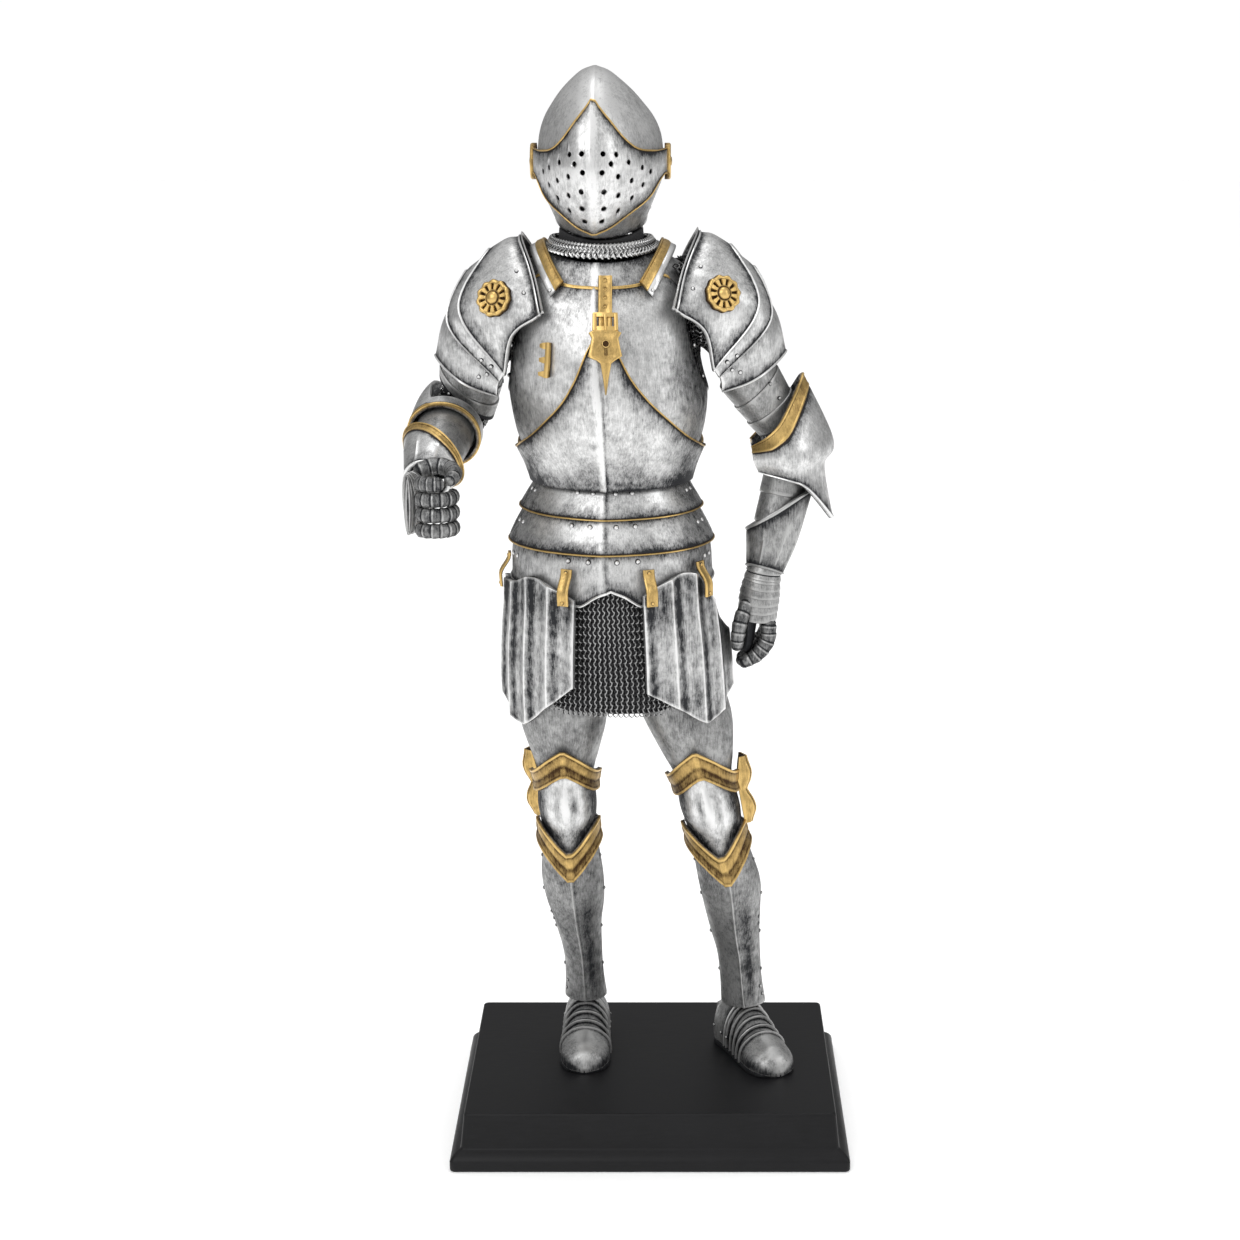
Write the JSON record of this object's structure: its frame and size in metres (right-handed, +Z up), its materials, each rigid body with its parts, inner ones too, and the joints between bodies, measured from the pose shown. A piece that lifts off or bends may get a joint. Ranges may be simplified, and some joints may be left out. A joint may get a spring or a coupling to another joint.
{
  "type": "miniature suit of plate armour on a plinth",
  "caption": "Standing suit of plate armour, hollow and empty, with a hinged visor, fluted tassets, mail skirt and gilt trim, as a display miniature on a stepped black plinth.",
  "frame": {"origin": "centre of the plinth's underside", "axes": "+Z up, -Y the way the suit faces, +X towards the wearer's left"},
  "size_m": [0.135, 0.0962, 0.3295],
  "materials": {
    "steel": "antiqued, dark in the recesses and brushed bright on the ridges",
    "gilt": "aged gilt, brown in the recesses",
    "mail": "blackened mail with worn bright rings",
    "plinth": "satin black lacquer"
  },
  "bodies": {
    "suit": {"plinth": "plinth", "helmet_skull": "steel", "helmet_bevor": "steel", "visor_pivot_right": "gilt", "visor_pivot_left": "gilt", "gorget_collar": "mail", "gorget_plate": "steel", "breastplate": "steel", "backplate": "steel", "plackart": "steel", "fauld_1": "steel", "fauld_2": "steel", "fauld_3": "steel", "tasset_right": "steel", "tasset_strap_right_1": "gilt", "tasset_strap_right_2": "gilt", "tasset_left": "steel", "tasset_strap_left_1": "gilt", "tasset_strap_left_2": "gilt", "mail_skirt": "mail", "chest_strap": "gilt", "chest_buckle": "gilt", "lance_rest": "gilt", "shoulder_strap_right": "steel", "shoulder_strap_left": "steel", "pauldron_right": "steel", "pauldron_left": "steel", "pauldron_lame_upper_right": "steel", "pauldron_lame_upper_left": "steel", "pauldron_lame_lower_right": "steel", "pauldron_lame_lower_left": "steel", "rosette_right": "gilt", "rosette_left": "gilt", "mail_sleeve_right": "mail", "mail_sleeve_left": "mail", "rerebrace_right": "steel", "vambrace_right": "steel", "gauntlet_cuff_right": "steel", "rerebrace_left": "steel", "vambrace_left": "steel", "gauntlet_cuff_left": "steel", "couter_right": "steel", "couter_left": "steel", "gauntlet_hand_right": "steel", "gauntlet_fingers_right": "steel", "gauntlet_hand_left": "steel", "gauntlet_fingers_left": "steel", "cuisse_right": "steel", "greave_right": "steel", "poleyn_right": "steel", "poleyn_upper_right": "gilt", "poleyn_lower_right": "gilt", "sabaton_right": "steel", "cuisse_left": "steel", "greave_left": "steel", "poleyn_left": "steel", "poleyn_upper_left": "gilt", "poleyn_lower_left": "gilt", "sabaton_left": "steel"},
    "visor": {"helmet_visor": "steel"}
  },
  "joints": [
    {"name": "visor_hinge", "type": "hinge", "parent": "suit", "child": "visor", "pos_m": [-0.0142, 0, 0.3024], "axis": [-1, 0, 0], "range_deg": [0, 55]}
  ]
}
